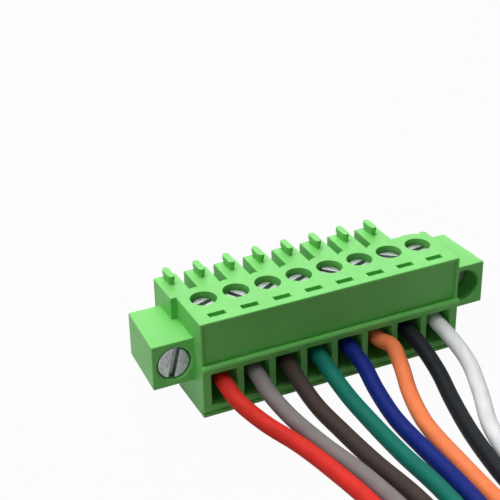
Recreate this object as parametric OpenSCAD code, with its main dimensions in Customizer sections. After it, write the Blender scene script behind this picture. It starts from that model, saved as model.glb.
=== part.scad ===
// Eight pole pluggable screw terminal block with screw flanges and leads.
// X runs along the row of poles, +Y is the plug-in side, -Y the wire side.
// The block stands on Z = 0 with its clamp screws facing up.

/* [Poles] */
// Distance between neighbouring poles
pitch = 3.81; // [3.75:0.01:4.0]
// Housing wall beyond the outer poles, from pole centre to side wall
end_margin = 2.55; // [2.5:0.05:3]

/* [Housing] */
// Height of the housing from the table to its top face
block_height = 11.6; // [11.4:0.1:13]
// Reach of the top lip in front of the screw axis
front_reach = 4.9; // [4.8:0.1:6]
// Reach of the screw block behind the screw axis
block_back = 2.0; // [1.95:0.05:2.2]
// Reach of the contact carrier behind the screw axis
carrier_back = 6.5; // [6.3:0.1:8]
// How far the front panel stands back from the lip
panel_recess = 0.3; // [0.1:0.05:0.4]
// Height of the lip along the top front edge
lip_height = 0.4; // [0.3:0.05:1]
// Radius of the bead above the wire windows
bead_radius = 0.36; // [0.2:0.02:0.4]

/* [Wire windows] */
// Width of one wire window
window_width = 3.0; // [2.6:0.1:3.1]
// Height of one wire window
window_height = 3.9; // [3.4:0.1:4.0]
// Thickness of the floor below the wire windows
window_floor = 1.35; // [1.35:0.05:1.5]

/* [Tongues] */
// Distance between neighbouring tongues, a little less than between poles
tongue_pitch = 3.61; // [3.5:0.01:3.81]
// Gap between two neighbouring tongues
tongue_gap = 0.95; // [0.8:0.05:1.4]
// Depth of the gaps between the tongues
tongue_depth = 2.4; // [1.6:0.1:2.6]
// Height of the guide key on each tongue
key_height = 1.0; // [0.6:0.1:1.4]
// Length of the guide key
key_length = 2.3; // [1.6:0.05:3]
// Width of the head of the guide key
key_width = 0.75; // [0.5:0.05:0.9]

/* [Clamps] */
// Diameter of the well above each clamp screw
well_diameter = 2.95; // [2.85:0.05:3.1]
// Thread diameter of the clamp screw
clamp_thread = 2.0; // [1.8:0.1:2.0]
// Thread pitch of the clamp screw
clamp_thread_pitch = 0.4; // [0.35:0.05:0.4]
// Depth of the screw head below the top face
head_depth = 0.6; // [0.45:0.05:1.0]
// Height of the clamp screw head
head_height = 1.3; // [1.0:0.1:1.4]
// Outer width of the clamping cage
cage_width = 3.0; // [2.8:0.05:3.05]
// Length of the clamping cage along the wire
cage_length = 3.5; // [3.0:0.1:3.6]
// Sheet thickness of the clamping cage
cage_wall = 0.4; // [0.3:0.05:0.45]
// Drop of the cage when its screw is fully loosened
cage_travel = 1.6; // [1.2:0.1:1.6]

/* [Contacts] */
// Thickness of the contact metal
contact_thick = 0.6; // [0.4:0.05:0.6]
// Width of the current bar
bar_width = 1.9; // [1.6:0.1:1.9]
// Gap between the two contact springs at their nip
spring_gap = 0.6; // [0.4:0.1:0.8]

/* [Flanges] */
// Width of one flange block
flange_width = 4.75; // [4.6:0.05:6]
// Height of a flange block
flange_height = 5.3; // [5.0:0.1:6]
// Reach of a flange in front of the screw axis
flange_front = 2.95; // [2.8:0.05:4]
// Reach of a flange behind the screw axis
flange_back = 4.9; // [4.6:0.1:5.2]
// Diameter of the flange screw head
flange_head = 3.7; // [3.4:0.1:3.8]
// Thread diameter of the flange screw
flange_thread = 2.5; // [2.0:0.1:2.6]
// Length of the flange screw below its head
flange_screw_length = 6.9; // [6.9:0.1:8]
// Length of the threaded end of the flange screw
flange_thread_length = 3.0; // [2:0.1:3.4]

/* [Leads] */
// Outer diameter of a lead
lead_diameter = 1.8; // [1.6:0.05:1.85]
// Diameter of the stripped conductor
conductor_diameter = 0.95; // [0.8:0.05:1.1]

/* [Hidden] */
// One node per real piece, numbered from the left seen from the wire side

pole_count = 8;
poles = [1 : pole_count];
round_fn = 48;
through = 0.5;        // how far a cutter runs past the face it opens

// Colours
plastic_green = [0.42, 0.75, 0.38];
zinc_silver = [0.78, 0.80, 0.82];
tinned_copper = [0.80, 0.76, 0.70];
bare_copper = [0.80, 0.48, 0.30];
lead_colours = ["red", "gray", "#4a4038", "#14706a", "#16357a", "#ff9c6e", "#20262c", "#f4f4f2"];

// Row and housing
half_row = pitch * (pole_count - 1) / 2;
side_x = half_row + end_margin;
frame_front = front_reach + 0.15;      // front of the wire window frame
end_strip = 0.35;                      // upright strips at the ends of the front panel
foot_height = 0.45;                    // strip below the groove at the foot
groove_height = 0.15;
groove_depth = 0.15;

// Wire windows and the clamp cavity behind them
window_top = window_floor + window_height;
bead_z = window_top + 0.85;
cavity_gap = 0.1;                      // play of the cage in its cavity
cavity_half_x = cage_width / 2 + cavity_gap;
cavity_half_y = cage_length / 2 + cavity_gap;
cavity_floor = window_floor - 0.05;

// Clamp screw
head_top = block_height - head_depth;
head_seat = head_top - head_height;
cavity_roof = head_seat - 0.6;
head_play = 0.25;                      // radial play of the head in its well
head_radius = well_diameter / 2 - head_play;
driver_slot_width = 0.6;
driver_slot_depth = 0.6;
tip_gap = 0.05;
slot_angles = [20, -62, 32, 23, -50, 20, -38, 10];

// Contact and conductor heights follow from the fully dropped cage
touch_gap = 0.05;                      // gap between pieces that only touch
cage_floor_thick = 0.5;
cage_bottom = cavity_floor + 0.15 + cage_travel;
cage_seat = cage_bottom + cage_floor_thick;
conductor_z = cage_seat + touch_gap + conductor_diameter / 2;
bar_bottom = conductor_z + conductor_diameter / 2;
bar_top = bar_bottom + contact_thick;
cage_roof = bar_top + cage_travel + 0.15;
cage_top = min(cage_roof + 1.1, cavity_roof - 0.3);
thread_play = 0.05;

// Contact carrier, tongues and guide keys
carrier_bottom = bar_bottom - 0.8;
carrier_top = block_height - tongue_depth;
carrier_left = -side_x - 0.65;
collar_radius = block_back + 0.65;
first_gap = -0.05;                     // the first gap's place from the first pole
key_inset = 1.3;                       // key centre from the tongue's right edge
chamber_half_x = 1.25;
chamber_front = block_back + 0.6;
chamber_bottom = bar_bottom - 0.15;
chamber_top = carrier_top - 0.8;
mouth_half_x = 0.95;
mouth_half_z = 1.3;
mouth_wall = 0.5;
contact_axis_z = (chamber_bottom + chamber_top) / 2;

// Marking slots in the top face
mark_length = 2.0;
mark_width = 0.78;
mark_depth = 0.9;
mark_y = -front_reach + 1.4;

// Flanges
flange_outer = side_x + flange_width;
flange_z = contact_axis_z;
flange_x = (side_x + flange_outer) / 2 - 0.15;
flange_head_play = 0.08;
flange_neck_play = 0.08;
flange_seat = flange_back - 2.7;
flange_draft = 0.4;                    // the outer side leans in towards the back
flange_chamfer = 0.2;                  // chamfer round the mouth of the bore
flange_head_height = 1.6;
flange_neck = flange_thread * 0.76;    // bare neck between head and thread
left_screw_depth = 0.15;               // the left screw is nearly flush
right_screw_depth = 2.5;               // the right screw is pushed in

// Leads
strip_end = cavity_half_y + 0.5;       // the insulation stops here, before the cage
lead_sides = 8;
lead_rest = lead_diameter / 2;
conductor_back = cavity_half_y - 0.1;
lead_sag = 0.3;                        // drop of a lead between its clamp and the frame

// Lead routes after the window, one list per lead. Each point is a side step from
// the pole, a distance in front of the housing, and how much of the drop from the
// clamp to the table is still left (1 is clamp height, 0 lies on the table).
lead_routes = [
    [[0.2, 2.5, 0.72], [1.6, 6, 0.38], [3.7, 10, 0.1], [5.2, 16, 0],
     [6.0, 22, 0], [6.3, 28, 0], [6.1, 35, 0], [5.4, 43, 0], [4.4, 51, 0]],
    [[0.0, 2.5, 0.72], [0.7, 6, 0.38], [1.9, 10, 0.1], [3.4, 16, 0],
     [4.2, 22, 0], [4.5, 28, 0], [4.4, 35, 0], [3.9, 43, 0], [3.2, 51, 0]],
    [[0.0, 2.5, 0.72], [0.3, 6, 0.38], [1.1, 10, 0.1], [1.8, 16, 0],
     [2.6, 22, 0], [2.8, 28, 0], [2.7, 35, 0], [2.4, 43, 0], [2.0, 51, 0]],
    [[0.0, 2.5, 0.72], [0.3, 6, 0.38], [0.8, 10, 0.1], [1.1, 16, 0],
     [1.5, 22, 0], [1.4, 28, 0], [1.2, 35, 0], [1.0, 43, 0], [0.8, 51, 0]],
    [[0.1, 2.5, 0.72], [-0.2, 6, 0.38], [-0.4, 10, 0.1], [-0.3, 16, 0],
     [-0.2, 22, 0], [-0.4, 28, 0], [-0.5, 35, 0], [-0.5, 43, 0], [-0.4, 51, 0]],
    [[0.7, 1.2, 0.85], [0.6, 3.4, 0.5], [-0.4, 7, 0.12], [-1.6, 12, 0],
     [-2.1, 20, 0], [-2.2, 28, 0], [-2.2, 35, 0], [-2.0, 43, 0], [-1.6, 51, 0]],
    [[0.1, 2.5, 0.72], [0.0, 6, 0.38], [-0.8, 10, 0.1], [-2.2, 16, 0],
     [-3.2, 22, 0], [-3.7, 28, 0], [-3.8, 35, 0], [-3.5, 43, 0], [-2.8, 51, 0]],
    [[0.2, 2.5, 0.72], [0.2, 6, 0.38], [-1.0, 10, 0.1], [-3.6, 16, 0],
     [-5.0, 22, 0], [-5.4, 28, 0], [-5.5, 35, 0], [-5.0, 43, 0], [-4.0, 51, 0]]];

// Place of pole k on X
function pole_x(k) = (k - 1) * pitch - half_row;

// Middle of the gap to the right of tongue k
function gap_x(k) = pole_x(1) + first_gap + (k - 1) * tongue_pitch;

// Right and left edges of tongue k; the first one ends at the carrier's wall
function tongue_right(k) = gap_x(k) - tongue_gap / 2;
function tongue_left(k) = k == 1 ? carrier_left : gap_x(k - 1) + tongue_gap / 2;

// Middle line of the lead on pole k, from its stripped end to its far end
function lead_path(k) = concat(
    [[pole_x(k), -strip_end, conductor_z],
     [pole_x(k), -frame_front, conductor_z - lead_sag]],
    [for (p = lead_routes[k - 1])
        [pole_x(k) + p[0], -frame_front - p[1], lead_rest + p[2] * (conductor_z - lead_rest)]]);

// A box between two corners
module box(low, high) {
    translate(low)
        cube(high - low);
}

// A rod along Y, centred on x and z
module rod_y(x, z, y_low, y_high, r) {
    translate([x, y_low, z])
        rotate([-90, 0, 0])
            cylinder(r = r, h = y_high - y_low, $fn = round_fn);
}

// A round tube swept along a path of points, closed at both ends
module swept_lead(path) {
    n = len(path);
    r = lead_diameter / 2;
    function heading(i) =
        let (d = path[min(i + 1, n - 1)] - path[max(i - 1, 0)])
        d / norm(d);
    rings = [for (i = [0 : n - 1])
        let (d = heading(i), side = cross(d, [0, 0, 1]), u = side / norm(side), v = cross(u, d))
        for (s = [0 : lead_sides - 1])
            let (a = 360 * (s + 0.5) / lead_sides)
            path[i] + r * (cos(a) * u + sin(a) * v)];
    walls = [for (i = [0 : n - 2], s = [0 : lead_sides - 1])
        let (a = i * lead_sides + s, b = i * lead_sides + (s + 1) % lead_sides)
        [a, a + lead_sides, b + lead_sides, b]];
    first_cap = [for (s = [0 : lead_sides - 1]) s];
    last_cap = [for (s = [lead_sides - 1 : -1 : 0]) (n - 1) * lead_sides + s];
    polyhedron(points = rings, faces = concat(walls, [first_cap, last_cap]));
}

// A box between x_low and x_high and its mirror image on the other end
module at_both_ends(x_low, x_high, y_low, y_high, z_low, z_high) {
    for (side = [0, 1])
        mirror([side, 0, 0])
            box([x_low, y_low, z_low], [x_high, y_high, z_high]);
}

// Screw block: lip, recessed panel between its end strips, window frame and foot
module screw_block() {
    box([-side_x, -front_reach + panel_recess, 0], [side_x, block_back, block_height]);
    box([-side_x, -front_reach, block_height - lip_height],
        [side_x, -front_reach + panel_recess + through, block_height]);
    at_both_ends(side_x - end_strip, side_x, -front_reach,
                 -front_reach + panel_recess + through, 0, block_height);
    box([-side_x, -frame_front, 0], [side_x, -front_reach + panel_recess + through, bead_z]);
    translate([-side_x, -frame_front + 0.05, bead_z])
        rotate([0, 90, 0])
            cylinder(r = bead_radius, h = 2 * side_x, $fn = round_fn);
    intersection() {
        union()
            for (k = poles)
                translate([pole_x(k), 0, 0])
                    cylinder(r = collar_radius, h = block_height, $fn = round_fn);
        box([-side_x, 0, 0], [side_x, collar_radius + through, block_height]);
    }
    translate([side_x - 0.5, block_back, 0])
        cylinder(r = 0.5, h = block_height, $fn = round_fn);
}

// Contact carrier with the tongues on its roof
module carrier() {
    box([carrier_left, block_back - through, carrier_bottom],
        [side_x, carrier_back, carrier_top]);
    for (k = poles) {
        box([tongue_left(k), block_back - through, carrier_top - through],
            [tongue_right(k), carrier_back, block_height]);
        guide_key(tongue_right(k) - key_inset);
    }
}

// A bar of the guide key along Y, round at both ends
module key_bar(x, width, z_low, z_high) {
    ends = [carrier_back - key_length + key_width / 2, carrier_back - key_width / 2];
    box([x - width / 2, ends[0], z_low], [x + width / 2, ends[1], z_high]);
    for (y = ends)
        translate([x, y, z_low])
            cylinder(d = width, h = z_high - z_low, $fn = round_fn);
}

// Guide key: a narrow neck under a wider head
module guide_key(x) {
    key_top = block_height + key_height;
    key_bar(x, key_width * 0.8, block_height - through, key_top);
    key_bar(x, key_width, block_height + key_height * 0.45, key_top);
}

// The two flange blocks, each with a leaning outer side
module flanges() {
    for (side = [0, 1])
        mirror([side, 0, 0])
            translate([0, 0, flange_z - flange_height / 2])
                linear_extrude(flange_height)
                    polygon([[side_x - through, -flange_front], [flange_outer, -flange_front],
                             [flange_outer - flange_draft, flange_back],
                             [side_x - through, flange_back]]);
}

// All that is hollow at one pole: well, screw hole, cavity, window, bar slot and chamber
module pole_hollows(k) {
    translate([pole_x(k), 0, 0]) {
        translate([0, 0, head_seat - touch_gap])
            cylinder(d = well_diameter, h = block_height, $fn = round_fn);
        translate([0, 0, cavity_roof - through])
            cylinder(d = clamp_thread + 2 * thread_play, h = block_height - cavity_roof,
                     $fn = round_fn);
        box([-cavity_half_x, -cavity_half_y, cavity_floor],
            [cavity_half_x, cavity_half_y, cavity_roof]);
        box([-window_width / 2, -frame_front - through, window_floor],
            [window_width / 2, 0, window_top]);
        box([-bar_width / 2, 0, bar_bottom],
            [bar_width / 2, chamber_front + through, bar_top]);
        box([-chamber_half_x, chamber_front, chamber_bottom],
            [chamber_half_x, carrier_back - mouth_wall, chamber_top]);
        box([-mouth_half_x, carrier_back - mouth_wall - through, contact_axis_z - mouth_half_z],
            [mouth_half_x, carrier_back + through, contact_axis_z + mouth_half_z]);
        box([-mark_length / 2, mark_y - mark_width / 2, block_height - mark_depth],
            [mark_length / 2, mark_y + mark_width / 2, block_height + through]);
    }
}

// Stepped bore of one flange, chamfered at its mouth
module flange_bore(x) {
    mouth = flange_head / 2 + flange_head_play;
    translate([x, -flange_front, flange_z])
        rotate([-90, 0, 0])
            cylinder(r1 = mouth + flange_chamfer, r2 = mouth, h = flange_chamfer, $fn = round_fn);
    rod_y(x, flange_z, -flange_front - through, flange_seat,
          flange_head / 2 + flange_head_play);
    rod_y(x, flange_z, flange_seat - through, flange_back + through,
          flange_thread / 2 + flange_neck_play);
}

module housing() {
    color(plastic_green)
        difference() {
            union() {
                screw_block();
                carrier();
                flanges();
            }
            for (k = poles)
                pole_hollows(k);
            for (s = [-1, 1])
                flange_bore(s * flange_x);
            box([-side_x - through, -frame_front - through, foot_height],
                [side_x + through, -frame_front + groove_depth, foot_height + groove_height]);
        }
}

module clamp_screw(k) {
    color(zinc_silver)
        translate([pole_x(k), 0, 0])
            difference() {
                union() {
                    translate([0, 0, head_seat])
                        cylinder(r = head_radius, h = head_height, $fn = round_fn);
                    translate([0, 0, bar_top + tip_gap])
                        cylinder(d = clamp_thread, h = head_top - bar_top - 2 * tip_gap - driver_slot_depth,
                                 $fn = round_fn);
                }
                rotate(slot_angles[k - 1])
                    box([-well_diameter, -driver_slot_width / 2, head_top - driver_slot_depth],
                        [well_diameter, driver_slot_width / 2, head_top + through]);
            }
}

// Rising cage: a sheet box open along the wire, threaded through its roof
module clamp_cage(k) {
    half_x = cage_width / 2;
    half_y = cage_length / 2;
    color(zinc_silver)
        translate([pole_x(k), 0, 0])
            difference() {
                box([-half_x, -half_y, cage_bottom], [half_x, half_y, cage_top]);
                box([-half_x + cage_wall, -half_y - through, cage_seat],
                    [half_x - cage_wall, half_y + through, cage_roof]);
                translate([0, 0, cage_roof - through])
                    cylinder(d = clamp_thread + 2 * thread_play, h = cage_top, $fn = round_fn);
            }
}

// One contact spring seen from above: it runs in to the nip and flares out
module spring_profile(side) {
    steps = 10;
    leaf = 0.22;
    y_low = chamber_front + 0.2;
    y_high = carrier_back - mouth_wall - 0.15;
    wide = chamber_half_x - 0.3;
    line = [for (i = [0 : steps])
        let (t = i / steps)
        [spring_gap / 2 + (wide - spring_gap / 2) * pow(abs(t - 0.72) / 0.72, 1.6),
         y_low + t * (y_high - y_low)]];
    polygon(concat(
        [for (p = line) [side * p[0], p[1]]],
        [for (i = [steps : -1 : 0]) [side * (line[i][0] + leaf), line[i][1]]]));
}

module contact(k) {
    spring_bottom = bar_top - contact_thick / 2;
    color(tinned_copper)
        translate([pole_x(k), 0, 0]) {
            box([-bar_width / 2, -cage_length / 2, bar_bottom],
                [bar_width / 2, chamber_front + 0.5, bar_top]);
            box([-chamber_half_x + 0.05, chamber_front + 0.02, bar_bottom],
                [chamber_half_x - 0.05, chamber_front + 1.0, bar_top]);
            for (s = [-1, 1])
                translate([0, 0, spring_bottom])
                    linear_extrude(chamber_top - 0.3 - spring_bottom)
                        spring_profile(s);
        }
}

module conductor(k) {
    color(bare_copper)
        rod_y(pole_x(k), conductor_z, -strip_end, conductor_back, conductor_diameter / 2);
}

module lead(k) {
    color(lead_colours[k - 1])
        swept_lead(lead_path(k));
}

// Slotted captive flange screw with a bare neck; its head front lies at head_front
module flange_screw(x, head_front, slot_angle) {
    head_back = head_front + flange_head_height;
    tip = head_back + flange_screw_length;
    color(zinc_silver)
        difference() {
            union() {
                rod_y(x, flange_z, head_front, head_back, flange_head / 2);
                rod_y(x, flange_z, head_back - 0.1, tip, flange_neck / 2);
                rod_y(x, flange_z, tip - flange_thread_length, tip, flange_thread / 2);
            }
            translate([x, head_front, flange_z])
                rotate([0, slot_angle, 0])
                    box([-0.35, -through, -flange_head], [0.35, 0.8, flange_head]);
        }
}

module flange_screw_left() {
    flange_screw(-flange_x, -flange_front + left_screw_depth, 14);
}

module flange_screw_right() {
    flange_screw(flange_x, -flange_front + right_screw_depth, -20);
}

housing();
for (k = poles) {
    clamp_screw(k);
    clamp_cage(k);
    contact(k);
    conductor(k);
    lead(k);
}
flange_screw_left();
flange_screw_right();
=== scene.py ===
"""Eight pole pluggable screw terminal block with its leads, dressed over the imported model.

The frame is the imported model's own: X along the row of poles, +Y the plug-in side, -Y the
wire side, Z up from the table. Sizes in the classes are in millimetres unless a name says
otherwise, and meshes are in metres.
"""
import logging
import math
from dataclasses import dataclass, field
from enum import Enum

import bmesh
import bpy
import numpy as np
from mathutils import Matrix, Vector


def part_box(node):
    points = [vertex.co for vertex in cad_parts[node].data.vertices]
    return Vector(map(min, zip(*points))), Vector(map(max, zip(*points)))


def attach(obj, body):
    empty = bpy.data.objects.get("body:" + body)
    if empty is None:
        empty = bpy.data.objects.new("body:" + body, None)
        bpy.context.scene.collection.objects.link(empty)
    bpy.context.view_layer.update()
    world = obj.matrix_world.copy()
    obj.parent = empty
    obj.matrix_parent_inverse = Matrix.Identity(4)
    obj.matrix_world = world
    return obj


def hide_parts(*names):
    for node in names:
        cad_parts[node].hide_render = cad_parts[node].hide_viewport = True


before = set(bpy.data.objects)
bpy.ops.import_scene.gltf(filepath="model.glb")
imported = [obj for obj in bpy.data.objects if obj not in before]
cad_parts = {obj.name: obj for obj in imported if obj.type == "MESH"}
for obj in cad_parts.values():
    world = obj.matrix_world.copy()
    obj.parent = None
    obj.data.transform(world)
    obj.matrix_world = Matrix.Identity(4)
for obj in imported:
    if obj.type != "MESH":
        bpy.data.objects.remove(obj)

MM = 0.001
TURN = 2 * math.pi
POLES = range(1, 9)
ROW_MIDDLE = 4.5
BLOCK = "block"
TURNING_MAP = "turning"

Triple = tuple[float, float, float]
Pair = tuple[float, float]
Socket = bpy.types.NodeSocket
Material = bpy.types.Material

log = logging.getLogger("terminal_block")


# ---------------------------------------------------------------- mesh building

@dataclass
class Shell:
    """Points and faces of one mesh, gathered as whole arrays in millimetres."""

    points: list[np.ndarray] = field(default_factory=list)
    faces: list[np.ndarray] = field(default_factory=list)
    turning: list[np.ndarray] = field(default_factory=list)

    def count(self) -> int:
        """Number of points gathered so far."""
        return sum(len(p) for p in self.points)

    def add(self, points: np.ndarray, turning: np.ndarray | None = None) -> np.ndarray:
        """Adds points and returns their numbers.

        Args:
            points: Array whose last axis holds x, y and z.
            turning: Array of the same leading shape with two surface coordinates.

        Returns:
            Array of point numbers, shaped like points without its last axis.
        """
        start = self.count()
        shape = points.shape[:-1]
        self.points.append(points.reshape(-1, 3))
        if turning is None:
            turning = np.zeros(shape + (2,))
        self.turning.append(turning.reshape(-1, 2))
        return start + np.arange(int(np.prod(shape))).reshape(shape)

    def weave(self, numbers: np.ndarray, closed: bool) -> None:
        """Adds a quad between each point of a grid and its next row and column.

        Args:
            numbers: Grid of point numbers, rows first; further leading axes are separate grids.
            closed: Whether the last column joins the first.
        """
        right = np.roll(numbers, -1, axis=-1)
        if not closed:
            numbers, right = numbers[..., :-1], right[..., :-1]
        quads = np.stack([numbers[..., :-1, :], right[..., :-1, :],
                          right[..., 1:, :], numbers[..., 1:, :]], axis=-1)
        self.faces.append(quads.reshape(-1, 4))

    def fan(self, ring: np.ndarray, centre: np.ndarray) -> None:
        """Closes a ring of points with triangles to one centre point.

        Args:
            ring: Point numbers round the ring; further leading axes are separate rings.
            centre: One centre for each ring, x, y and z on the last axis.
        """
        middle = self.add(centre)[..., None]
        after = np.roll(ring, -1, axis=-1)
        self.faces.append(np.stack([ring, after, np.broadcast_to(middle, ring.shape)],
                                   axis=-1).reshape(-1, 3))

    def piece(self, name: str, sharp_over: float) -> bpy.types.Object:
        """Makes the mesh object, with doubles merged and faces turned outwards.

        Args:
            name: Name of the piece.
            sharp_over: Edges that bend by more than this many degrees shade sharp.

        Returns:
            The new object, at the origin.
        """
        mesh = bpy.data.meshes.new(name)
        mesh.from_pydata((np.concatenate(self.points) * MM).tolist(), [],
                         [f for block in self.faces for f in block.tolist()])
        layer = mesh.uv_layers.new(name=TURNING_MAP)
        corner = np.empty(len(mesh.loops), dtype=np.int32)
        mesh.loops.foreach_get("vertex_index", corner)
        layer.data.foreach_set("uv", np.concatenate(self.turning)[corner].ravel())
        settle(mesh)
        shade_over(mesh, sharp_over)
        return into_scene(name, mesh)


def settle(mesh: bpy.types.Mesh, gap: float = 1e-8) -> None:
    """Merges doubled points and turns the faces outwards.

    Args:
        mesh: Mesh to mend.
        gap: Points closer than this, in metres, are merged.
    """
    work = bmesh.new()
    work.from_mesh(mesh)
    bmesh.ops.remove_doubles(work, verts=work.verts, dist=gap)
    bmesh.ops.dissolve_degenerate(work, edges=work.edges, dist=gap)
    bmesh.ops.recalc_face_normals(work, faces=work.faces)
    work.to_mesh(mesh)
    work.free()


def shade_over(mesh: bpy.types.Mesh, sharp_over: float) -> None:
    """Shades a mesh smooth, apart from edges that bend by more than so many degrees."""
    mesh.shade_smooth()
    mesh.set_sharp_from_angle(angle=math.radians(sharp_over))


def into_scene(name: str, data: bpy.types.ID) -> bpy.types.Object:
    """Puts a mesh, lamp or camera into the scene.

    Args:
        name: Name of the new object.
        data: What it shows.

    Returns:
        The object, at the origin.
    """
    item = bpy.data.objects.new(name, data)
    bpy.context.scene.collection.objects.link(item)
    return item


def node_box(node: str) -> tuple[np.ndarray, np.ndarray]:
    """Lowest and highest corner of a CAD node, in millimetres."""
    low, high = (np.array(corner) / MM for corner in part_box(node))
    return low, high


def dress(piece: bpy.types.Object, finish: Material) -> None:
    """Gives a piece its finish.

    Args:
        piece: Piece or CAD node.
        finish: Its material.
    """
    piece.data.materials.clear()
    piece.data.materials.append(finish)


# ---------------------------------------------------------------- lines in space

def distance_along(line: np.ndarray) -> np.ndarray:
    """Distance of each sample from the first: the running sum of the steps between them."""
    return np.concatenate([[0], np.cumsum(np.linalg.norm(np.diff(line, axis=0), axis=1))])


def smooth_line(points: np.ndarray, step: float, span_samples: int = 40) -> np.ndarray:
    """Runs one smooth curve through the points.

    Each span is a cubic whose end slopes are the neighbouring chords' slopes, weighted by
    the other chord's length. The samples are then spaced evenly along the curve.

    Args:
        points: Points on the line, one row each.
        step: Wanted spacing of the samples.
        span_samples: Samples of each cubic, before they are spaced evenly.

    Returns:
        Samples along the curve, one row each.
    """
    chord = np.linalg.norm(np.diff(points, axis=0), axis=1)[:, None]
    slope = np.diff(points, axis=0) / chord
    inner = (slope[:-1] * chord[1:] + slope[1:] * chord[:-1]) / (chord[1:] + chord[:-1])
    tangent = np.vstack([slope[:1], inner, slope[-1:]])
    t = np.linspace(0, 1, span_samples, endpoint=False)[None, :, None]
    h = chord[:, :, None]
    a, b = points[:-1, None, :], points[1:, None, :]
    u, v = tangent[:-1, None, :], tangent[1:, None, :]
    curve = ((2 * t**3 - 3 * t**2 + 1) * a + (t**3 - 2 * t**2 + t) * h * u
             + (3 * t**2 - 2 * t**3) * b + (t**3 - t**2) * h * v).reshape(-1, 3)
    curve = np.vstack([curve, points[-1:]])
    along = distance_along(curve)
    even = np.linspace(0, along[-1], max(2, int(round(along[-1] / step))) + 1)
    return np.stack([np.interp(even, along, curve[:, i]) for i in range(3)], axis=1)


def frames_along(line: np.ndarray) -> tuple[np.ndarray, np.ndarray, np.ndarray]:
    """Heading, side and upper direction at each sample of a line that is never vertical.

    The side is the heading crossed with up, and the upper direction is the side crossed
    with the heading.

    Args:
        line: Samples along the line.

    Returns:
        Three arrays of unit directions.
    """
    heading = np.gradient(line, axis=0)
    heading /= np.linalg.norm(heading, axis=1)[:, None]
    side = np.cross(heading, [0.0, 0.0, 1.0])
    side /= np.linalg.norm(side, axis=1)[:, None]
    return heading, side, np.cross(side, heading)


def angles_round(sides: int) -> np.ndarray:
    """Angles of evenly spaced points round one full turn."""
    return TURN * np.arange(sides) / sides


def circle_across(angle: np.ndarray, side: np.ndarray, upper: np.ndarray) -> np.ndarray:
    """Unit circle across each sample: cosine times the side plus sine times the upper way.

    Args:
        angle: Angles round the circle.
        side: Side direction of each sample.
        upper: Upper direction of each sample.

    Returns:
        Directions, with samples, angles and x, y, z on the three axes.
    """
    return (np.cos(angle)[None, :, None] * side[:, None]
            + np.sin(angle)[None, :, None] * upper[:, None])


# ---------------------------------------------------------------- finishes

class Reading(Enum):
    """Coordinates that stay on a piece, which a pattern is read from."""

    OBJECT = "Object"
    TURNING = "UV"


@dataclass(frozen=True)
class Grain:
    """Cloudy noise: its scale per unit of the coordinates, its octaves and their strength.

    The coordinates are a piece's own metres or its turning map, stretched on each axis.
    """

    scale: float
    octaves: float
    roughness: float
    stretch: Triple | None = None
    reading: Reading = Reading.OBJECT


@dataclass(frozen=True)
class Relief:
    """Height of a bump from 0 to 1 in metres, and the share of its bending that is used."""

    height: float
    strength: float


def shade(colour: Triple, factor: float) -> Triple:
    """Colour made lighter or darker by a factor."""
    return tuple(min(1.0, c * factor) for c in colour)


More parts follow.
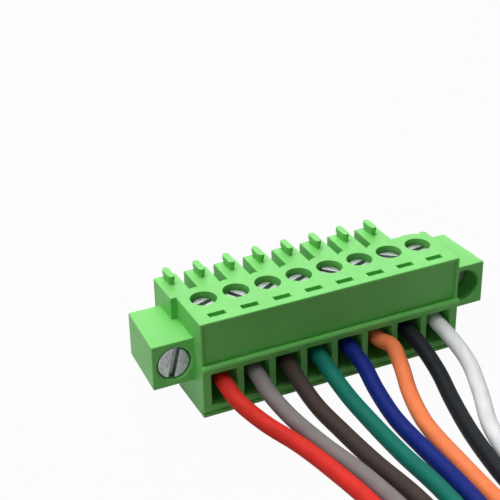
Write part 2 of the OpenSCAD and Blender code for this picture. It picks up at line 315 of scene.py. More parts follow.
class ShaderSheet:
    """A node material under construction, with one Principled shader."""

    def __init__(self, name: str) -> None:
        """Starts an empty material with an output and a Principled shader."""
        self.material = bpy.data.materials.new(name)
        self.material.use_nodes = True
        self.tree = self.material.node_tree
        self.tree.nodes.clear()
        self.output = self.tree.nodes.new("ShaderNodeOutputMaterial")
        self.shader = self.tree.nodes.new("ShaderNodeBsdfPrincipled")
        self.link(self.shader.outputs["BSDF"], self.output.inputs["Surface"])

    def link(self, source: Socket, target: Socket) -> None:
        """Joins two sockets."""
        self.tree.links.new(source, target)

    def feed(self, **sources: Socket) -> None:
        """Joins sockets to the shader's, with _ for a space in the names."""
        for name, source in sources.items():
            self.link(source, self.shader.inputs[name.replace("_", " ")])

    def set(self, **values: float | Triple) -> None:
        """Writes plain values on the shader's sockets, with _ for a space in the names."""
        for name, value in values.items():
            self.shader.inputs[name.replace("_", " ")].default_value = value

    def place(self, reading: Reading) -> Socket:
        """Coordinates of a piece.

        Args:
            reading: Object coordinates, or the piece's turning map.

        Returns:
            The coordinates.
        """
        if reading is Reading.TURNING:
            node = self.tree.nodes.new("ShaderNodeUVMap")
            node.uv_map = TURNING_MAP
        else:
            node = self.tree.nodes.new("ShaderNodeTexCoord")
        return node.outputs[reading.value]

    def noise(self, grain: Grain) -> Socket:
        """Cloudy noise, from 0 to 1, over the grain's own stretched coordinates.

        Args:
            grain: Its size, octaves, stretch and coordinates.

        Returns:
            The noise's value.
        """
        where = self.place(grain.reading)
        if grain.stretch is not None:
            mapping = self.tree.nodes.new("ShaderNodeMapping")
            mapping.inputs["Scale"].default_value = grain.stretch
            self.link(where, mapping.inputs["Vector"])
            where = mapping.outputs["Vector"]
        node = self.tree.nodes.new("ShaderNodeTexNoise")
        node.inputs["Scale"].default_value = grain.scale
        node.inputs["Detail"].default_value = grain.octaves
        node.inputs["Roughness"].default_value = grain.roughness
        self.link(where, node.inputs["Vector"])
        return node.outputs["Fac"]

    def span(self, source: Socket, result: Pair = (0, 1), values: Pair = (0.3, 0.7)) -> Socket:
        """Spreads a range of values evenly over a range of results.

        Args:
            source: Values.
            result: Results at the ends of the range.
            values: Values at the ends of the range.

        Returns:
            The spread values.
        """
        node = self.tree.nodes.new("ShaderNodeMapRange")
        for name, value in zip(("From Min", "From Max", "To Min", "To Max"), values + result):
            node.inputs[name].default_value = value
        self.link(source, node.inputs["Value"])
        return node.outputs["Result"]

    def blend(self, factor: Socket | float, low: Socket | Triple,
              high: Socket | Triple) -> Socket:
        """Mixes two colours by a factor, each of the three plain or from a socket.

        Args:
            factor: Share of the second colour, from 0 to 1.
            low: First colour.
            high: Second colour.

        Returns:
            The mixed colour.
        """
        node = self.tree.nodes.new("ShaderNodeMix")
        node.data_type = "RGBA"
        for name, value in (("Factor", factor), ("A", low), ("B", high)):
            if isinstance(value, Socket):
                self.link(value, node.inputs[name])
            else:
                node.inputs[name].default_value = (*value, 1) if name != "Factor" else value
        return node.outputs["Result"]

    def tinted(self, source: Socket, colour: Triple, factors: Pair) -> Socket:
        """Colour that runs from one shade to another by a pattern.

        Args:
            source: The pattern's value.
            colour: Colour between the shades.
            factors: Factors of the darker and the lighter shade.

        Returns:
            The shaded colour.
        """
        low, high = (shade(colour, factor) for factor in factors)
        return self.blend(self.span(source), low, high)

    def bump(self, source: Socket, relief: Relief, under: Socket | None = None) -> Socket:
        """Bends the normal by a height field.

        Args:
            source: Height from 0 to 1.
            relief: How high it is and how much it bends.
            under: Normal that this one is laid over.

        Returns:
            The bent normal.
        """
        node = self.tree.nodes.new("ShaderNodeBump")
        node.inputs["Distance"].default_value = relief.height
        node.inputs["Strength"].default_value = relief.strength
        self.link(source, node.inputs["Height"])
        if under is not None:
            self.link(under, node.inputs["Normal"])
        return node.outputs["Normal"]


@dataclass(frozen=True)
class MouldedPolyamide:
    """Satin green polyamide as it leaves a fine eroded mould."""

    colour: Triple = (0.175, 0.60, 0.135)
    shades: Pair = (0.94, 1.06)
    gloss: Pair = (0.40, 0.52)
    flow: Grain = Grain(160, 3, 0.55, (1.0, 0.6, 1.0))
    coarse: Grain = Grain(900, 2, 0.5)
    fine: Grain = Grain(1 / (0.06 * MM), 3, 0.6)
    coarse_relief: Relief = Relief(2.5e-5, 0.25)
    fine_relief: Relief = Relief(6e-6, 0.35)

    def make(self) -> Material:
        """Builds the material.

        Broad clouds tint the colour where the melt flowed, and a fine two-scale grain of the
        mould's surface drives the bump and the roughness.

        Returns:
            The finish.
        """
        sheet = ShaderSheet("moulded_polyamide")
        coarse = sheet.noise(self.coarse)
        sheet.feed(Base_Color=sheet.tinted(sheet.noise(self.flow), self.colour, self.shades),
                   Roughness=sheet.span(coarse, self.gloss),
                   Normal=sheet.bump(sheet.noise(self.fine), self.fine_relief,
                                     sheet.bump(coarse, self.coarse_relief)))
        sheet.set(Subsurface_Weight=0.10, Subsurface_Scale=0.0006,
                  Subsurface_Radius=(0.6, 1.0, 0.5), IOR=1.5, Specular_IOR_Level=0.28)
        return sheet.material


@dataclass(frozen=True)
class ZincPlate:
    """Bright blue-passivated zinc over turned steel, or over sheet."""

    name: str = "zinc_plate"
    marks: Grain = Grain(1.0, 4, 0.6, (1.5, 26, 1), Reading.TURNING)
    colour: Triple = (0.26, 0.33, 0.36)
    tint: Triple = (0.44, 0.46, 0.43)
    wear: float = 0.6
    worn_shades: Pair = (0.35, 1.25)
    scratch_range: Pair = (0.42, 0.60)
    gloss: Pair = (0.26, 0.50)
    clouds: Grain = Grain(1400, 3, 0.6)
    scratches: Grain = Grain(1500, 5, 0.75, (9, 9, 1.2))
    pits: Grain = Grain(9000, 2, 0.5)
    pit_relief: Relief = Relief(3e-6, 0.3)
    mark_relief: Relief = Relief(2.5e-5, 0.7)

    def make(self) -> Material:
        """Builds the material.

        Lathe marks run round a turned piece's axis: noise stretched along the turn, read from
        the turning map. Soft clouds shift the plate between bluish and yellowish, and scratches
        show darker and lighter metal.

        Returns:
            The finish.
        """
        sheet = ShaderSheet(self.name)
        marks = sheet.noise(self.marks)
        plate = sheet.blend(sheet.span(sheet.noise(self.clouds)), self.colour, self.tint)
        worn = sheet.blend(sheet.span(sheet.noise(self.scratches), values=self.scratch_range),
                           shade(self.colour, self.worn_shades[0]),
                           shade(self.tint, self.worn_shades[1]))
        pits = sheet.bump(sheet.noise(self.pits), self.pit_relief)
        sheet.feed(Base_Color=sheet.blend(self.wear, plate, worn),
                   Roughness=sheet.span(marks, self.gloss),
                   Normal=sheet.bump(marks, self.mark_relief, pits))
        sheet.set(Metallic=1.0)
        return sheet.material


@dataclass(frozen=True)
class TinPlate:
    """Soft matt tin over contact copper."""

    colour: Triple = (0.62, 0.59, 0.54)
    shades: Pair = (0.9, 1.08)
    gloss: Pair = (0.3, 0.5)
    streaks: Grain = Grain(1800, 3, 0.6, (6, 0.7, 6))
    relief: Relief = Relief(5e-6, 0.4)

    def make(self) -> Material:
        """Builds the material: rolled streaks along Y in the tint, gloss and bump.

        Returns:
            The finish.
        """
        sheet = ShaderSheet("tin_plate")
        streaks = sheet.noise(self.streaks)
        sheet.feed(Base_Color=sheet.tinted(streaks, self.colour, self.shades),
                   Roughness=sheet.span(streaks, self.gloss),
                   Normal=sheet.bump(streaks, self.relief))
        sheet.set(Metallic=1.0)
        return sheet.material


@dataclass(frozen=True)
class BareCopper:
    """Drawn copper strand, a little dulled by handling."""

    colour: Triple = (0.86, 0.43, 0.27)
    dull: Triple = (0.50, 0.22, 0.13)
    tarnish: Grain = Grain(2600, 4, 0.65)
    tarnish_range: Pair = (0.4, 0.75)
    streaks: Grain = Grain(1.0, 3, 0.5, (30, 1.2, 1), Reading.TURNING)
    gloss: Pair = (0.2, 0.38)
    relief: Relief = Relief(2e-6, 0.5)

    def make(self) -> Material:
        """Builds the material: tarnish clouds in the colour and drawing streaks in the gloss.

        Returns:
            The finish.
        """
        sheet = ShaderSheet("bare_copper")
        tarnish = sheet.span(sheet.noise(self.tarnish), values=self.tarnish_range)
        streaks = sheet.noise(self.streaks)
        sheet.feed(Base_Color=sheet.blend(tarnish, self.colour, self.dull),
                   Roughness=sheet.span(streaks, self.gloss),
                   Normal=sheet.bump(streaks, self.relief))
        sheet.set(Metallic=1.0)
        return sheet.material


@dataclass(frozen=True)
class SoftPvc:
    """Smooth extruded lead insulation in one colour."""

    name: str
    colour: Triple
    shades: Pair = (0.92, 1.08)
    gloss: Pair = (0.54, 0.68)
    clouds: Grain = Grain(1.0, 3, 0.5, (2.0, 0.45, 1), Reading.TURNING)
    draw_marks: Grain = Grain(1.0, 3, 0.5, (22, 0.25, 1), Reading.TURNING)
    scuffs: Grain = Grain(1500, 4, 0.6)
    ripple_relief: Relief = Relief(3e-5, 0.3)
    draw_relief: Relief = Relief(5e-6, 0.35)

    def make(self) -> Material:
        """Builds the material.

        Long draw marks follow the lead on its turning map, faint clouds vary the pigment,
        and broad ripples of the extrusion bend the highlight.

        Returns:
            The finish.
        """
        sheet = ShaderSheet(f"pvc_{self.name}")
        clouds = sheet.noise(self.clouds)
        ripple = sheet.bump(clouds, self.ripple_relief)
        sheet.feed(Base_Color=sheet.tinted(clouds, self.colour, self.shades),
                   Roughness=sheet.span(sheet.noise(self.scuffs), self.gloss),
                   Normal=sheet.bump(sheet.noise(self.draw_marks), self.draw_relief, ripple))
        sheet.set(Subsurface_Weight=0.05, Subsurface_Scale=0.0005, IOR=1.45,
                  Specular_IOR_Level=0.16)
        return sheet.material


class LeadColour(Enum):
    """Named insulation colours, in linear light."""

    RED = ("red", (0.68, 0.030, 0.020))
    GREY = ("grey", (0.22, 0.195, 0.19))
    BROWN = ("brown", (0.045, 0.030, 0.026))
    TEAL = ("teal", (0.004, 0.15, 0.11))
    NAVY = ("navy", (0.003, 0.015, 0.17))
    ORANGE = ("orange", (0.90, 0.23, 0.085))
    BLACK = ("black", (0.006, 0.008, 0.011))
    WHITE = ("white", (0.74, 0.75, 0.75))

    @property
    def slot(self) -> str:
        """Name made of lead_ and the colour's name."""
        return f"lead_{self.value[0]}"

    def make(self) -> Material:
        """Insulation material of this colour."""
        return SoftPvc(*self.value).make()


# ---------------------------------------------------------------- camera

@dataclass
class StudioCamera:
    """Camera that looks down on the wire side of the block from its left front corner."""

    azimuth: float = -24.79
    elevation: float = 28.27
    roll: float = -1.14
    distance: float = 139.5
    side_step: float = 7.09
    up_step: float = -2.26
    datum_height: float = 11.6
    lens: float = 90.94
    sensor: float = 36.0
    clip_metres: Pair = (0.01, 10)

    def directions(self) -> tuple[Vector, Vector, Vector]:
        """Right, up and backward directions of the camera, the roll included.

        Backward comes from azimuth and elevation as on a sphere, right and up are level and
        square to it, and the roll turns those two about it.

        Returns:
            The three unit directions.
        """
        a, e, r = (math.radians(v) for v in (self.azimuth, self.elevation, self.roll))
        back = Vector((math.sin(a) * math.cos(e), -math.cos(a) * math.cos(e), math.sin(e)))
        level = Vector((math.cos(a), math.sin(a), 0))
        rise = back.cross(level)
        return (math.cos(r) * level + math.sin(r) * rise,
                -math.sin(r) * level + math.cos(r) * rise, back)

    def build(self) -> None:
        """Places the camera and makes it the scene's camera."""
        right, up, back = self.directions()
        spot = (-self.side_step * right - self.up_step * up + self.distance * back
                + Vector((0, 0, self.datum_height))) * MM
        data = bpy.data.cameras.new("studio_camera")
        data.lens, data.sensor_width, data.sensor_fit = self.lens, self.sensor, "HORIZONTAL"
        data.clip_start, data.clip_end = self.clip_metres
        camera = into_scene("studio_camera", data)
        turn = Matrix((right, up, back)).transposed().to_4x4()
        camera.matrix_world = Matrix.Translation(spot) @ turn
        bpy.context.scene.camera = camera


# ---------------------------------------------------------------- leads

@dataclass
class StrandBundle:
    """Nineteen twisted copper strands: one, then six, then twelve round it."""

    strand_radius: float = 0.093
    layers: tuple[tuple[int, float], ...] = ((1, 0.0), (6, 0.19), (12, 0.372))
    lay: float = 11.0
    layer_turn: float = 0.13
    tip: float = 0.03
    sides: int = 7
    sharp_over: float = 60.0

    def build(self, name: str, line: np.ndarray, splay: float = 0.0) -> bpy.types.Object:
        """Winds the strands along a line.

        Each strand's centre turns round the line once in every lay length, at its layer's
        radius, which grows towards the far end by the splay. A small circle across the
        heading makes each strand's wall, and both of its ends close to a point.

        Args:
            name: Name of the piece.
            line: Samples along the bundle's middle, in millimetres.
            splay: Share by which the layers stand apart at the far end.

        Returns:
            One piece with all the strands.
        """
        heading, side, upper = frames_along(line)
        along = distance_along(line)
        start = np.concatenate([np.arange(n) / n + self.layer_turn * n for n, _ in self.layers])
        radius = np.concatenate([np.full(n, r) for n, r in self.layers])
        turn = TURN * (start[:, None] + along[None, :] / self.lay)
        open_up = 1 + splay * (along / along[-1])[None, :] ** 2
        reach = (radius[:, None] * open_up)[..., None]
        centre = line[None] + reach * (np.cos(turn)[..., None] * side[None]
                                       + np.sin(turn)[..., None] * upper[None])
        angle = angles_round(self.sides)
        rim = circle_across(angle, side, upper)
        wall = centre[:, :, None, :] + self.strand_radius * rim[None]
        turning = np.stack(np.broadcast_arrays(
            angle[None, None, :] / TURN + start[:, None, None], along[None, :, None]), axis=-1)
        shell = Shell()
        numbers = shell.add(wall, turning)
        shell.weave(numbers, closed=True)
        shell.fan(numbers[:, 0], centre[:, 0] - self.tip * heading[0])
        shell.fan(numbers[:, -1], centre[:, -1] + self.tip * heading[-1])
        return shell.piece(name, self.sharp_over)


@dataclass(frozen=True)
class LeadRoute:
    """Bends of one lead outside the block, from the block to its far end.

    Each bend has a step to the side of the pole, a reach from the block's front, and a height
    as a share of the clamp's own; the bends past the given heights lie on the table.
    """

    side_steps: tuple[float, ...]
    reaches: tuple[float, ...] = (2.5, 6, 10, 16, 22, 28, 35, 43, 51)
    heights: tuple[float, ...] = (0.72, 0.38, 0.1)

    def bends(self) -> np.ndarray:
        """Side step, reach and height of each bend, one row each."""
        on_table = (0.0,) * (len(self.side_steps) - len(self.heights))
        return np.stack([self.side_steps, self.reaches, self.heights + on_table], axis=1)


@dataclass
class Lead:
    """One insulated lead: clamped at its pole, bent down in front, then along the table."""

    pole: int
    colour: LeadColour
    route: LeadRoute
    pitch: float = 3.81
    radius: float = 0.9
    strip_start: float = 2.35
    frame_front: float = 5.05
    clamp_height: float = 4.075
    sag: float = 0.3
    bare_end: float = 5.0
    splay: float = 0.12
    tucked_samples: int = 2
    edge: float = 0.06
    edge_rings: int = 4
    sides: int = 28
    sample_step: float = 0.4
    pattern_shift: float = 3.0
    sharp_over: float = 50.0
    strand_inset: Pair = (0.02, 0.04)
    strand_samples: int = 12

    @property
    def x(self) -> float:
        """Place of this lead's pole along the row."""
        return (self.pole - ROW_MIDDLE) * self.pitch

    def line(self) -> np.ndarray:
        """Lays the lead's middle through the clamp, the front and the bends.

        Returns:
            Samples from its stripped start to its far end, none lower than it can lie.
        """
        rest = self.radius
        bends = self.route.bends()
        outside = np.stack([self.x + bends[:, 0], -self.frame_front - bends[:, 1],
                            rest + bends[:, 2] * (self.clamp_height - rest)], axis=1)
        straight = np.array([[self.x, -self.strip_start, self.clamp_height],
                             [self.x, -self.frame_front, self.clamp_height - self.sag]])
        samples = smooth_line(np.vstack([straight, outside]), self.sample_step)
        samples[:, 2] = np.maximum(samples[:, 2], rest)
        return samples

    def insulation(self, line: np.ndarray) -> bpy.types.Object:
        """Sweeps the insulation along its line.

        A circle is carried along the line; the first and last rings shrink over a short
        rounded edge, then run in flat to the middle, as a cleanly cut end does.

        Args:
            line: Samples along the insulated length.

        Returns:
            The closed tube.
        """
        heading, side, upper = frames_along(line)
        quarter = np.linspace(0, math.pi / 2, self.edge_rings)
        grow = self.radius - self.edge + self.edge * np.sin(quarter)
        shift = self.edge * (1 - np.cos(quarter))
        inner, extra = len(line) - 2, self.edge_rings - 1
        radius = np.concatenate([grow, np.full(inner, self.radius), grow[::-1]])
        push = np.concatenate([shift - shift[-1], np.zeros(inner), (shift[-1] - shift)[::-1]])
        ends = np.concatenate([np.zeros(extra, int), np.arange(len(line)),
                               np.full(extra, len(line) - 1)])
        centre = line[ends] + push[:, None] * heading[ends]
        angle = angles_round(self.sides)
        rim = circle_across(angle, side[ends], upper[ends])
        wall = centre[:, None] + radius[:, None, None] * rim
        turning = np.stack(np.broadcast_arrays(
            np.cos(angle)[None, :] + self.pattern_shift * self.pole,
            distance_along(line)[ends][:, None]), axis=-1)
        shell = Shell()
        numbers = shell.add(wall, turning)
        shell.weave(numbers, closed=True)
        shell.fan(numbers[0], centre[0])
        shell.fan(numbers[-1], centre[-1])
        return shell.piece(f"insulation_{self.pole}", self.sharp_over)

    def clamped_strands(self) -> bpy.types.Object:
        """Winds strands through the box of the conductor in the clamp.

        Returns:
            The straight bundle.
        """
        low, high = node_box(f"conductor_{self.pole}")
        middle = (low + high) / 2
        y = np.linspace(low[1] + self.strand_inset[0], high[1] - self.strand_inset[1],
                        self.strand_samples)
        line = np.stack([np.full_like(y, middle[0]), y, np.full_like(y, middle[2])], axis=1)
        return StrandBundle().build(f"clamped_strands_{self.pole}", line)

    def build(self, copper: Material) -> None:
        """Makes the insulation, its bare far end and the conductor in the clamp.

        Args:
            copper: Finish of the bare strands.
        """
        whole = self.line()
        along = distance_along(whole)
        cut = int(np.searchsorted(along, along[-1] - self.bare_end))
        tube = self.insulation(whole[:cut + 1])
        tail = StrandBundle().build(f"stripped_end_{self.pole}",
                                    whole[cut - self.tucked_samples:], self.splay)
        inner = self.clamped_strands()
        dress(tube, self.colour.make())
        dress(tail, copper)
        dress(inner, copper)
        for piece in (tube, tail, inner):
            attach(piece, BLOCK)
        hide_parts(f"lead_{self.pole}")
        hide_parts(f"conductor_{self.pole}")
        log.info("lead %d in %s, %.1f mm insulated", self.pole, self.colour.value[0],
                 along[cut])


@dataclass
class LeadSet:
    """The eight leads, each in its colour and on its route."""

    routes: dict[LeadColour, LeadRoute] = field(default_factory=lambda: {
        LeadColour.RED: LeadRoute((0.2, 1.6, 3.7, 5.2, 6.0, 6.3, 6.1, 5.4, 4.4)),
        LeadColour.GREY: LeadRoute((0.0, 0.7, 1.9, 3.4, 4.2, 4.5, 4.4, 3.9, 3.2)),
        LeadColour.BROWN: LeadRoute((0.0, 0.3, 1.1, 1.8, 2.6, 2.8, 2.7, 2.4, 2.0)),
        LeadColour.TEAL: LeadRoute((0.0, 0.3, 0.8, 1.1, 1.5, 1.4, 1.2, 1.0, 0.8)),
        LeadColour.NAVY: LeadRoute((0.1, -0.2, -0.4, -0.3, -0.2, -0.4, -0.5, -0.5, -0.4)),
        LeadColour.ORANGE: LeadRoute((0.7, 0.6, -0.4, -1.6, -2.1, -2.2, -2.2, -2.0, -1.6),
                                     (1.2, 3.4, 7, 12, 20, 28, 35, 43, 51), (0.85, 0.5, 0.12)),
        LeadColour.BLACK: LeadRoute((0.1, 0.0, -0.8, -2.2, -3.2, -3.7, -3.8, -3.5, -2.8)),
        LeadColour.WHITE: LeadRoute((0.2, 0.2, -1.0, -3.6, -5.0, -5.4, -5.5, -5.0, -4.0)),
    })

    def build(self, copper: Material) -> None:
        """Makes every lead in the order of its pole.

        Args:
            copper: Finish of the bare strands.
        """
        for pole, (colour, route) in zip(POLES, self.routes.items()):
            Lead(pole, colour, route).build(copper)


# ---------------------------------------------------------------- screws

class HeadFaces(Enum):
    """Which way a screw's head faces."""

    UP = "up"
    WIRE_SIDE = "wire side"


@dataclass(frozen=True)
class DriverSlot:
    """Slot across a screw's head, in section from its middle outwards.

    The foot holds points as distances in from the wall and up from the floor, and the lip
    as distances out from the wall and down from the head's top.
    """

    width: float
    depth: float
    angle: float
    flat_share: float = 0.6
    foot: tuple[Pair, ...] = ((0.05, 0.0), (0.02, 0.02), (0.01, 0.07))
    lip: tuple[Pair, ...] = ((0.0, 0.045), (0.012, 0.012), (0.035, 0.0))

    def section(self) -> tuple[np.ndarray, np.ndarray]:
        """Flat floor, filleted foot, drafted wall, then a small rounded lip.

        Returns:
            Distances from the slot's middle, and the depth at each.
        """
        half = self.width / 2
        foot, lip = np.array(self.foot), np.array(self.lip)
        across = np.concatenate([[0, half * self.flat_share], half - foot[:, 0],
                                 half + lip[:, 0]])
        depth = np.concatenate([[self.depth, self.depth], self.depth - foot[:, 1], lip[:, 1]])
        return across, depth

    def turned(self, along: np.ndarray, across: np.ndarray, z: np.ndarray) -> np.ndarray:
        """Points from distances along and across the slot, turned by its angle.

        Args:
            along: Distances along the slot.
            across: Distances across it.
            z: Heights.

        Returns:
            Points with x, y and z on the last axis.
        """
        c, s = math.cos(math.radians(self.angle)), math.sin(math.radians(self.angle))
        return np.stack(np.broadcast_arrays(along * c - across * s, along * s + across * c, z),
                        axis=-1)


@dataclass(frozen=True)
class ThreadForm:
    """Thread of a screw; its depth, run-out, lead-in and chamfer are shares of its pitch."""

    radius: float
    pitch: float
    length: float
    depth: float = 0.61
    crest: float = 1.15
    flank: float = 2.6
    run_out: float = 0.6
    lead_in: float = 0.8
    chamfer: float = 0.35
    tip_share: float = 0.86
    rows_per_pitch: int = 10

    def radius_at(self, z: np.ndarray, angle: np.ndarray, tip: float,
                  neck_radius: float) -> np.ndarray:
        """Radius of the shaft at a height and an angle.

        It is the neck's, and over the threaded end the thread's core plus a ridge: a triangle
        wave of the height in pitches less the angle in turns, flattened at crest and root,
        fading at both ends of the thread. The tip narrows over its chamfer.

        Args:
            z: Heights.
            angle: Angles round the axis.
            tip: Height of the shaft's tip.
            neck_radius: Radius above the thread.

        Returns:
            The radii.
        """
        start = tip + self.length
        phase = (z / self.pitch - angle / TURN) % 1.0
        wave = np.clip(self.crest - self.flank * np.abs(phase - 0.5), 0, 1)
        fade = (np.clip((start - z) / (self.run_out * self.pitch), 0, 1)
                * np.clip((z - tip) / (self.lead_in * self.pitch), 0, 1))
        core = self.radius - self.depth * self.pitch
        base = np.where(z > start, neck_radius, core)
        narrow = np.clip((z - tip) / (self.chamfer * self.pitch), 0, 1)
        radius = ((base + (self.radius - core) * wave * fade)
                  * (self.tip_share + (1 - self.tip_share) * narrow))
        return np.minimum(radius, self.radius)


@dataclass
class SlottedScrew:
    """A turned, threaded screw with a slot across its cheese head.

    Built standing up with its head's top at height 0, then laid along its axis.
    """

    head_radius: float
    head_height: float
    length: float
    slot: DriverSlot
    thread: ThreadForm
    neck_radius: float
    rim: float = 0.14
    slot_margin: float = 0.04
    last_chord: float = 0.9995
    outer_chords: int = 13
    chord_points: int = 33
    skirt_levels: Triple = (0.35, 0.8, 1.0)
    shaft_overlap: float = 0.1
    neck_rows: int = 6
    sides: int = 36
    sharp_over: float = 38.0

    def chords(self) -> tuple[np.ndarray, np.ndarray]:
        """Places of the chords over the head's top, with the slot's depth at each.

        The slot's section comes first, then chords whose places are sines of even angles, so
        that they crowd towards the rim; all are mirrored about the slot's middle.

        Returns:
            Distances across the slot, and depths.
        """
        across, depth = self.slot.section()
        r = self.head_radius
        first = math.asin((across[-1] + self.slot_margin) / r)
        outer = r * np.sin(np.linspace(first, math.pi / 2, self.outer_chords))[:-1]
        across = np.concatenate([across, outer, [r * self.last_chord]])
        depth = np.concatenate([depth, np.zeros(self.outer_chords)])
        return (np.concatenate([-across[:0:-1], across]),
                np.concatenate([depth[:0:-1], depth]))

    def head(self, shell: Shell) -> None:
        """Adds the head.

        The top is a grid of chords: one coordinate runs across the slot, the other along it
        from rim to rim, so the slot's walls are straight. Its height falls by the slot's
        section and by a quarter-round at the rim. The rim of the grid, taken once round, is
        carried down to the seat and closed there.

        Args:
            shell: Mesh that takes the faces.
        """
        a, deep = self.chords()
        r = self.head_radius
        t = np.sin(np.linspace(-math.pi / 2, math.pi / 2, self.chord_points))
        b = t[None, :] * np.sqrt(r * r - a * a)[:, None]
        grid_a = np.broadcast_to(a[:, None], b.shape)
        away = np.hypot(grid_a, b)
        over = np.clip(away - (r - self.rim), 0, self.rim)
        fall = self.rim - np.sqrt(np.maximum(self.rim**2 - over**2, 0))
        z = -np.maximum(fall, deep[:, None])
        turning = np.stack([np.arctan2(b, grid_a) / TURN, away], axis=-1)
        numbers = shell.add(self.slot.turned(b, grid_a, z), turning)
        shell.weave(numbers, closed=False)
        loop, rim_a, rim_b, rim_z = (np.concatenate([grid[:, -1], grid[::-1, 0]])
                                     for grid in (numbers, grid_a, b, z))
        level = np.array(self.skirt_levels)[:, None]
        seat = -self.head_height
        wall_z = rim_z[None] + level * (seat - rim_z[None])
        angle = np.broadcast_to(np.arctan2(rim_b, rim_a) / TURN, wall_z.shape)
        lower = shell.add(self.slot.turned(rim_b, rim_a, wall_z),
                          np.stack([angle, r - wall_z], axis=-1))
        shell.weave(np.vstack([loop[None], lower]), closed=True)
        shell.fan(lower[-1], np.array([0.0, 0.0, seat]))

    def shank(self, shell: Shell) -> None:
        """Adds the neck and thread as one closed shaft, turned to the thread form's radius.

        Args:
            shell: Mesh that takes the faces.
        """
        top, tip = -self.head_height + self.shaft_overlap, -self.length
        start = tip + self.thread.length
        rows = int(math.ceil(self.thread.length / self.thread.pitch
                             * self.thread.rows_per_pitch))
        heights = np.concatenate([np.linspace(top, start, self.neck_rows)[:-1],
                                  np.linspace(start, tip, rows)])
        z, angle = np.meshgrid(heights, angles_round(self.sides), indexing="ij")
        radius = self.thread.radius_at(z, angle, tip, self.neck_radius)
        wall = self.slot.turned(radius * np.sin(angle), radius * np.cos(angle), z)
        numbers = shell.add(wall, np.stack([angle / TURN, radius + z], axis=-1))
        shell.weave(numbers, closed=True)
        for row in (0, -1):
            shell.fan(numbers[row], np.array([0.0, 0.0, heights[row]]))

    def build(self, name: str, node: str, faces: HeadFaces, finish: Material) -> None:
        """Makes the screw in the place of its CAD node.

        Args:
            name: Name of the piece.
            node: CAD node that it replaces; the node's name is also its body's.
            faces: Which way the head faces.
            finish: Its material.
        """
        shell = Shell()
        self.head(shell)
        self.shank(shell)
        low, high = node_box(node)
        middle = (low + high) / 2
        if faces is HeadFaces.UP:
            shell.points = [p + [middle[0], middle[1], high[2]] for p in shell.points]
        else:
            shell.points = [np.stack([middle[0] + p[:, 0], low[1] - p[:, 2],
                                      middle[2] + p[:, 1]], axis=1) for p in shell.points]
        piece = shell.piece(name, self.sharp_over)
        dress(piece, finish)
        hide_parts(node)
        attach(piece, node)


@dataclass
class ClampScrews:
    """The eight clamp screws, each left at its own angle by the screwdriver."""

    slot_angles: tuple[float, ...] = (20, -62, 32, 23, -50, 20, -38, 10)
    slot_width: float = 0.6
    slot_depth: float = 0.6
    head_height: float = 1.3
    neck_radius: float = 0.8
    neck_length: float = 0.2
    thread_radius: float = 1.0
    thread_pitch: float = 0.4

    def build(self, finish: Material) -> None:
        """Makes each screw to the size of its node's box.

        Args:
            finish: Zinc plate for turned pieces.
        """
        for pole, angle in zip(POLES, self.slot_angles):
            node = f"clamp_screw_{pole}"
            low, high = node_box(node)
            length = high[2] - low[2]
            thread = ThreadForm(self.thread_radius, self.thread_pitch,
                                length - self.head_height - self.neck_length)
            screw = SlottedScrew((high[0] - low[0]) / 2, self.head_height, length,
                                 DriverSlot(self.slot_width, self.slot_depth, angle),
                                 thread, self.neck_radius)
            screw.build(f"slotted_clamp_screw_{pole}", node, HeadFaces.UP, finish)
            log.info("clamp screw %d, slot at %.0f degrees", pole, angle)


@dataclass
class FlangeScrews:
    """The two captive screws that hold the block in its header."""

    slot_angles: dict[str, float] = field(default_factory=lambda: {"left": 76, "right": 110})
    slot_width: float = 0.7
    slot_depth: float = 0.8
    head_height: float = 1.6
    rim: float = 0.2
    neck_radius: float = 0.95
    thread: ThreadForm = ThreadForm(1.25, 0.45, 3.0)

    def build(self, finish: Material) -> None:
        """Makes both screws to the size of their nodes' boxes.

        Args:
            finish: Zinc plate for turned pieces.
        """
        for side, angle in self.slot_angles.items():
            node = f"flange_screw_{side}"
            low, high = node_box(node)
            screw = SlottedScrew((high[0] - low[0]) / 2, self.head_height, high[1] - low[1],
                                 DriverSlot(self.slot_width, self.slot_depth, angle),
                                 self.thread, self.neck_radius, self.rim)
            screw.build(f"slotted_flange_screw_{side}", node, HeadFaces.WIRE_SIDE, finish)
            log.info("%s flange screw", side)


# ---------------------------------------------------------------- housing and metalwork

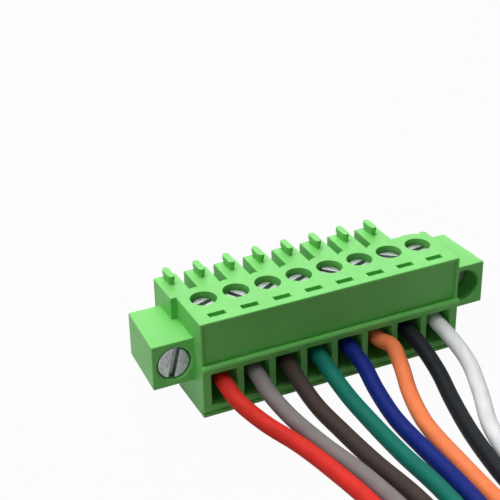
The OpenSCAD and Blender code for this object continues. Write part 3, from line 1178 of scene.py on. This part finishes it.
@dataclass
class Housing:
    """The moulded body: the CAD solid with the small radii that a mould leaves."""

    sharp_over: float = 20.0
    radius: float = 0.12
    round_segments: int = 2
    shortest: float = 2.63
    square_within: float = 8.0
    flat_within: float = 0.5
    merge_metres: float = 2e-6

    def long_edges(self, work: bmesh.types.BMesh) -> list[bmesh.types.BMEdge]:
        """Straight outer edges, near a right angle, that are long enough to be rounded.

        Args:
            work: The housing's mesh.

        Returns:
            The edges.
        """
        return [e for e in work.edges if e.is_manifold and e.is_convex
                and e.calc_length() > self.shortest * MM
                and abs(math.degrees(e.calc_face_angle()) - 90) < self.square_within]

    def rounded(self, mesh: bpy.types.Mesh) -> None:
        """Merges the loose triangles, joins flat ones and rounds the long edges.

        The mesh is all triangles before and after the rounding, so that no flat side is left
        as one face with many corners.

        Args:
            mesh: Copy of the CAD node's mesh.
        """
        work = bmesh.new()
        work.from_mesh(mesh)
        bmesh.ops.remove_doubles(work, verts=work.verts, dist=self.merge_metres)
        bmesh.ops.dissolve_limit(work, angle_limit=math.radians(self.flat_within),
                                 verts=work.verts, edges=work.edges)
        split = {"quad_method": "BEAUTY", "ngon_method": "BEAUTY"}
        bmesh.ops.triangulate(work, faces=work.faces, **split)
        bmesh.ops.bevel(work, geom=self.long_edges(work), offset=self.radius * MM,
                        offset_type="OFFSET", segments=self.round_segments, profile=0.5,
                        affect="EDGES", clamp_overlap=False)
        bmesh.ops.triangulate(work, faces=work.faces, **split)
        work.to_mesh(mesh)
        work.free()

    def build(self, finish: Material) -> None:
        """Copies the CAD node's mesh and rounds it.

        Args:
            finish: Moulded plastic.
        """
        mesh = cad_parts["housing"].data.copy()
        mesh.name = "moulded_housing"
        self.rounded(mesh)
        if mesh.has_custom_normals:
            mesh.attributes.remove(mesh.attributes["custom_normal"])
        shade_over(mesh, self.sharp_over)
        piece = into_scene("moulded_housing", mesh)
        dress(piece, finish)
        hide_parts("housing")
        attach(piece, BLOCK)
        log.info("housing, %d faces", len(mesh.polygons))


@dataclass
class Metalwork:
    """Clamp cages and spring contacts, which keep their CAD shapes."""

    rolled_marks: Grain = Grain(3000, 4, 0.6, (1, 6, 1))

    def build(self) -> None:
        """Dresses the cages in zinc plate with rolling marks, and the contacts in tin."""
        cage_finish = ZincPlate("zinc_plate_sheet", self.rolled_marks).make()
        contact_finish = TinPlate().make()
        for pole in POLES:
            dress(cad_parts[f"clamp_cage_{pole}"], cage_finish)
            dress(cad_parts[f"contact_{pole}"], contact_finish)
        log.info("cages and contacts dressed")


# ---------------------------------------------------------------- studio

@dataclass(frozen=True)
class SoftBox:
    """Square lamp, with its place, aim and side in metres and its power in watts."""

    name: str
    spot: Triple
    aim: Triple
    side: float
    power: float

    def build(self) -> None:
        """Hangs the lamp at its place, facing its aim."""
        data = bpy.data.lights.new(self.name, "AREA")
        data.shape, data.size, data.energy = "SQUARE", self.side, self.power
        way = (Vector(self.aim) - Vector(self.spot)).to_track_quat("-Z", "Y")
        lamp = into_scene(self.name, data)
        lamp.matrix_world = Matrix.Translation(self.spot) @ way.to_matrix().to_4x4()


@dataclass
class Studio:
    """Pale floor, white surroundings and soft light from above."""

    floor_half_metres: float = 0.6
    floor_colour: Triple = (0.34, 0.34, 0.34)
    floor_shades: Pair = (0.98, 1.0)
    floor_grain: Grain = Grain(60, 2, 0.5)
    floor_white: float = 0.96
    sky: float = 0.12
    lamps: tuple[SoftBox, ...] = (
        SoftBox("key", (-0.06, 0.08, 0.40), (0, 0, 0), 0.34, 2.0),
        SoftBox("fill", (-0.40, -0.16, 0.16), (0, 0, 0.005), 0.25, 0.2),
        SoftBox("back", (0.16, 0.42, 0.24), (0, 0, 0.005), 0.40, 0.85))

    def seen_directly(self, tree: bpy.types.NodeTree) -> Socket:
        """1 for camera, glossy and transmission rays, and 0 for all other light.

        Args:
            tree: Node tree of a material or world.

        Returns:
            The greatest of the three kinds of ray.
        """
        rays = tree.nodes.new("ShaderNodeLightPath").outputs
        seen = rays["Is Camera Ray"]
        for kind in ("Is Glossy Ray", "Is Transmission Ray"):
            greater = tree.nodes.new("ShaderNodeMath")
            greater.operation = "MAXIMUM"
            tree.links.new(seen, greater.inputs[0])
            tree.links.new(rays[kind], greater.inputs[1])
            seen = greater.outputs[0]
        return seen

    def paper(self) -> Material:
        """Finish of the floor: pale paper that glows white where it is seen directly.

        Returns:
            The finish.
        """
        sheet = ShaderSheet("floor_paper")
        sheet.feed(Base_Color=sheet.tinted(sheet.noise(self.floor_grain), self.floor_colour,
                                           self.floor_shades))
        sheet.set(Roughness=0.9, Specular_IOR_Level=0.1)
        glow = sheet.tree.nodes.new("ShaderNodeEmission")
        mix = sheet.tree.nodes.new("ShaderNodeMixShader")
        share = sheet.tree.nodes.new("ShaderNodeMath")
        share.operation = "MULTIPLY"
        share.inputs[1].default_value = self.floor_white
        sheet.link(self.seen_directly(sheet.tree), share.inputs[0])
        for source, target in ((share.outputs[0], mix.inputs[0]),
                               (sheet.shader.outputs["BSDF"], mix.inputs[1]),
                               (glow.outputs["Emission"], mix.inputs[2]),
                               (mix.outputs["Shader"], sheet.output.inputs["Surface"])):
            sheet.link(source, target)
        return sheet.material

    def floor(self) -> None:
        """Lays the floor, which looks near white and still takes the shadow."""
        h = self.floor_half_metres
        mesh = bpy.data.meshes.new("floor")
        mesh.from_pydata([(-h, -h, 0), (h, -h, 0), (h, h, 0), (-h, h, 0)], [], [(0, 1, 2, 3)])
        mesh.materials.append(self.paper())
        into_scene("floor", mesh)

    def surroundings(self) -> None:
        """Sets a white world that lights the object only a little."""
        world = bpy.data.worlds.new("surroundings")
        world.use_nodes = True
        tree = world.node_tree
        tree.nodes.clear()
        output = tree.nodes.new("ShaderNodeOutputWorld")
        lit, seen = (tree.nodes.new("ShaderNodeBackground") for _ in range(2))
        lit.inputs["Strength"].default_value = self.sky
        seen.inputs["Strength"].default_value = 1.0
        seen.inputs["Color"].default_value = (1, 1, 1, 1)
        mix = tree.nodes.new("ShaderNodeMixShader")
        for source, target in ((self.seen_directly(tree), mix.inputs[0]),
                               (lit.outputs[0], mix.inputs[1]),
                               (seen.outputs[0], mix.inputs[2]),
                               (mix.outputs[0], output.inputs["Surface"])):
            tree.links.new(source, target)
        bpy.context.scene.world = world

    def build(self) -> None:
        """Builds the floor, the surroundings and the lamps."""
        bpy.context.scene.view_settings.view_transform = "Standard"
        self.floor()
        self.surroundings()
        for lamp in self.lamps:
            lamp.build()
        log.info("studio set")


def main() -> None:
    """Builds the pieces in order; the CAD nodes that they replace stay in the scene, hidden."""
    logging.basicConfig(level=logging.INFO, format="%(name)s: %(message)s")
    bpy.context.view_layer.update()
    StudioCamera().build()
    LeadSet().build(BareCopper().make())
    Housing().build(MouldedPolyamide().make())
    zinc = ZincPlate().make()
    ClampScrews().build(zinc)
    FlangeScrews().build(zinc)
    Metalwork().build()
    Studio().build()


if __name__ == "__main__":
    main()
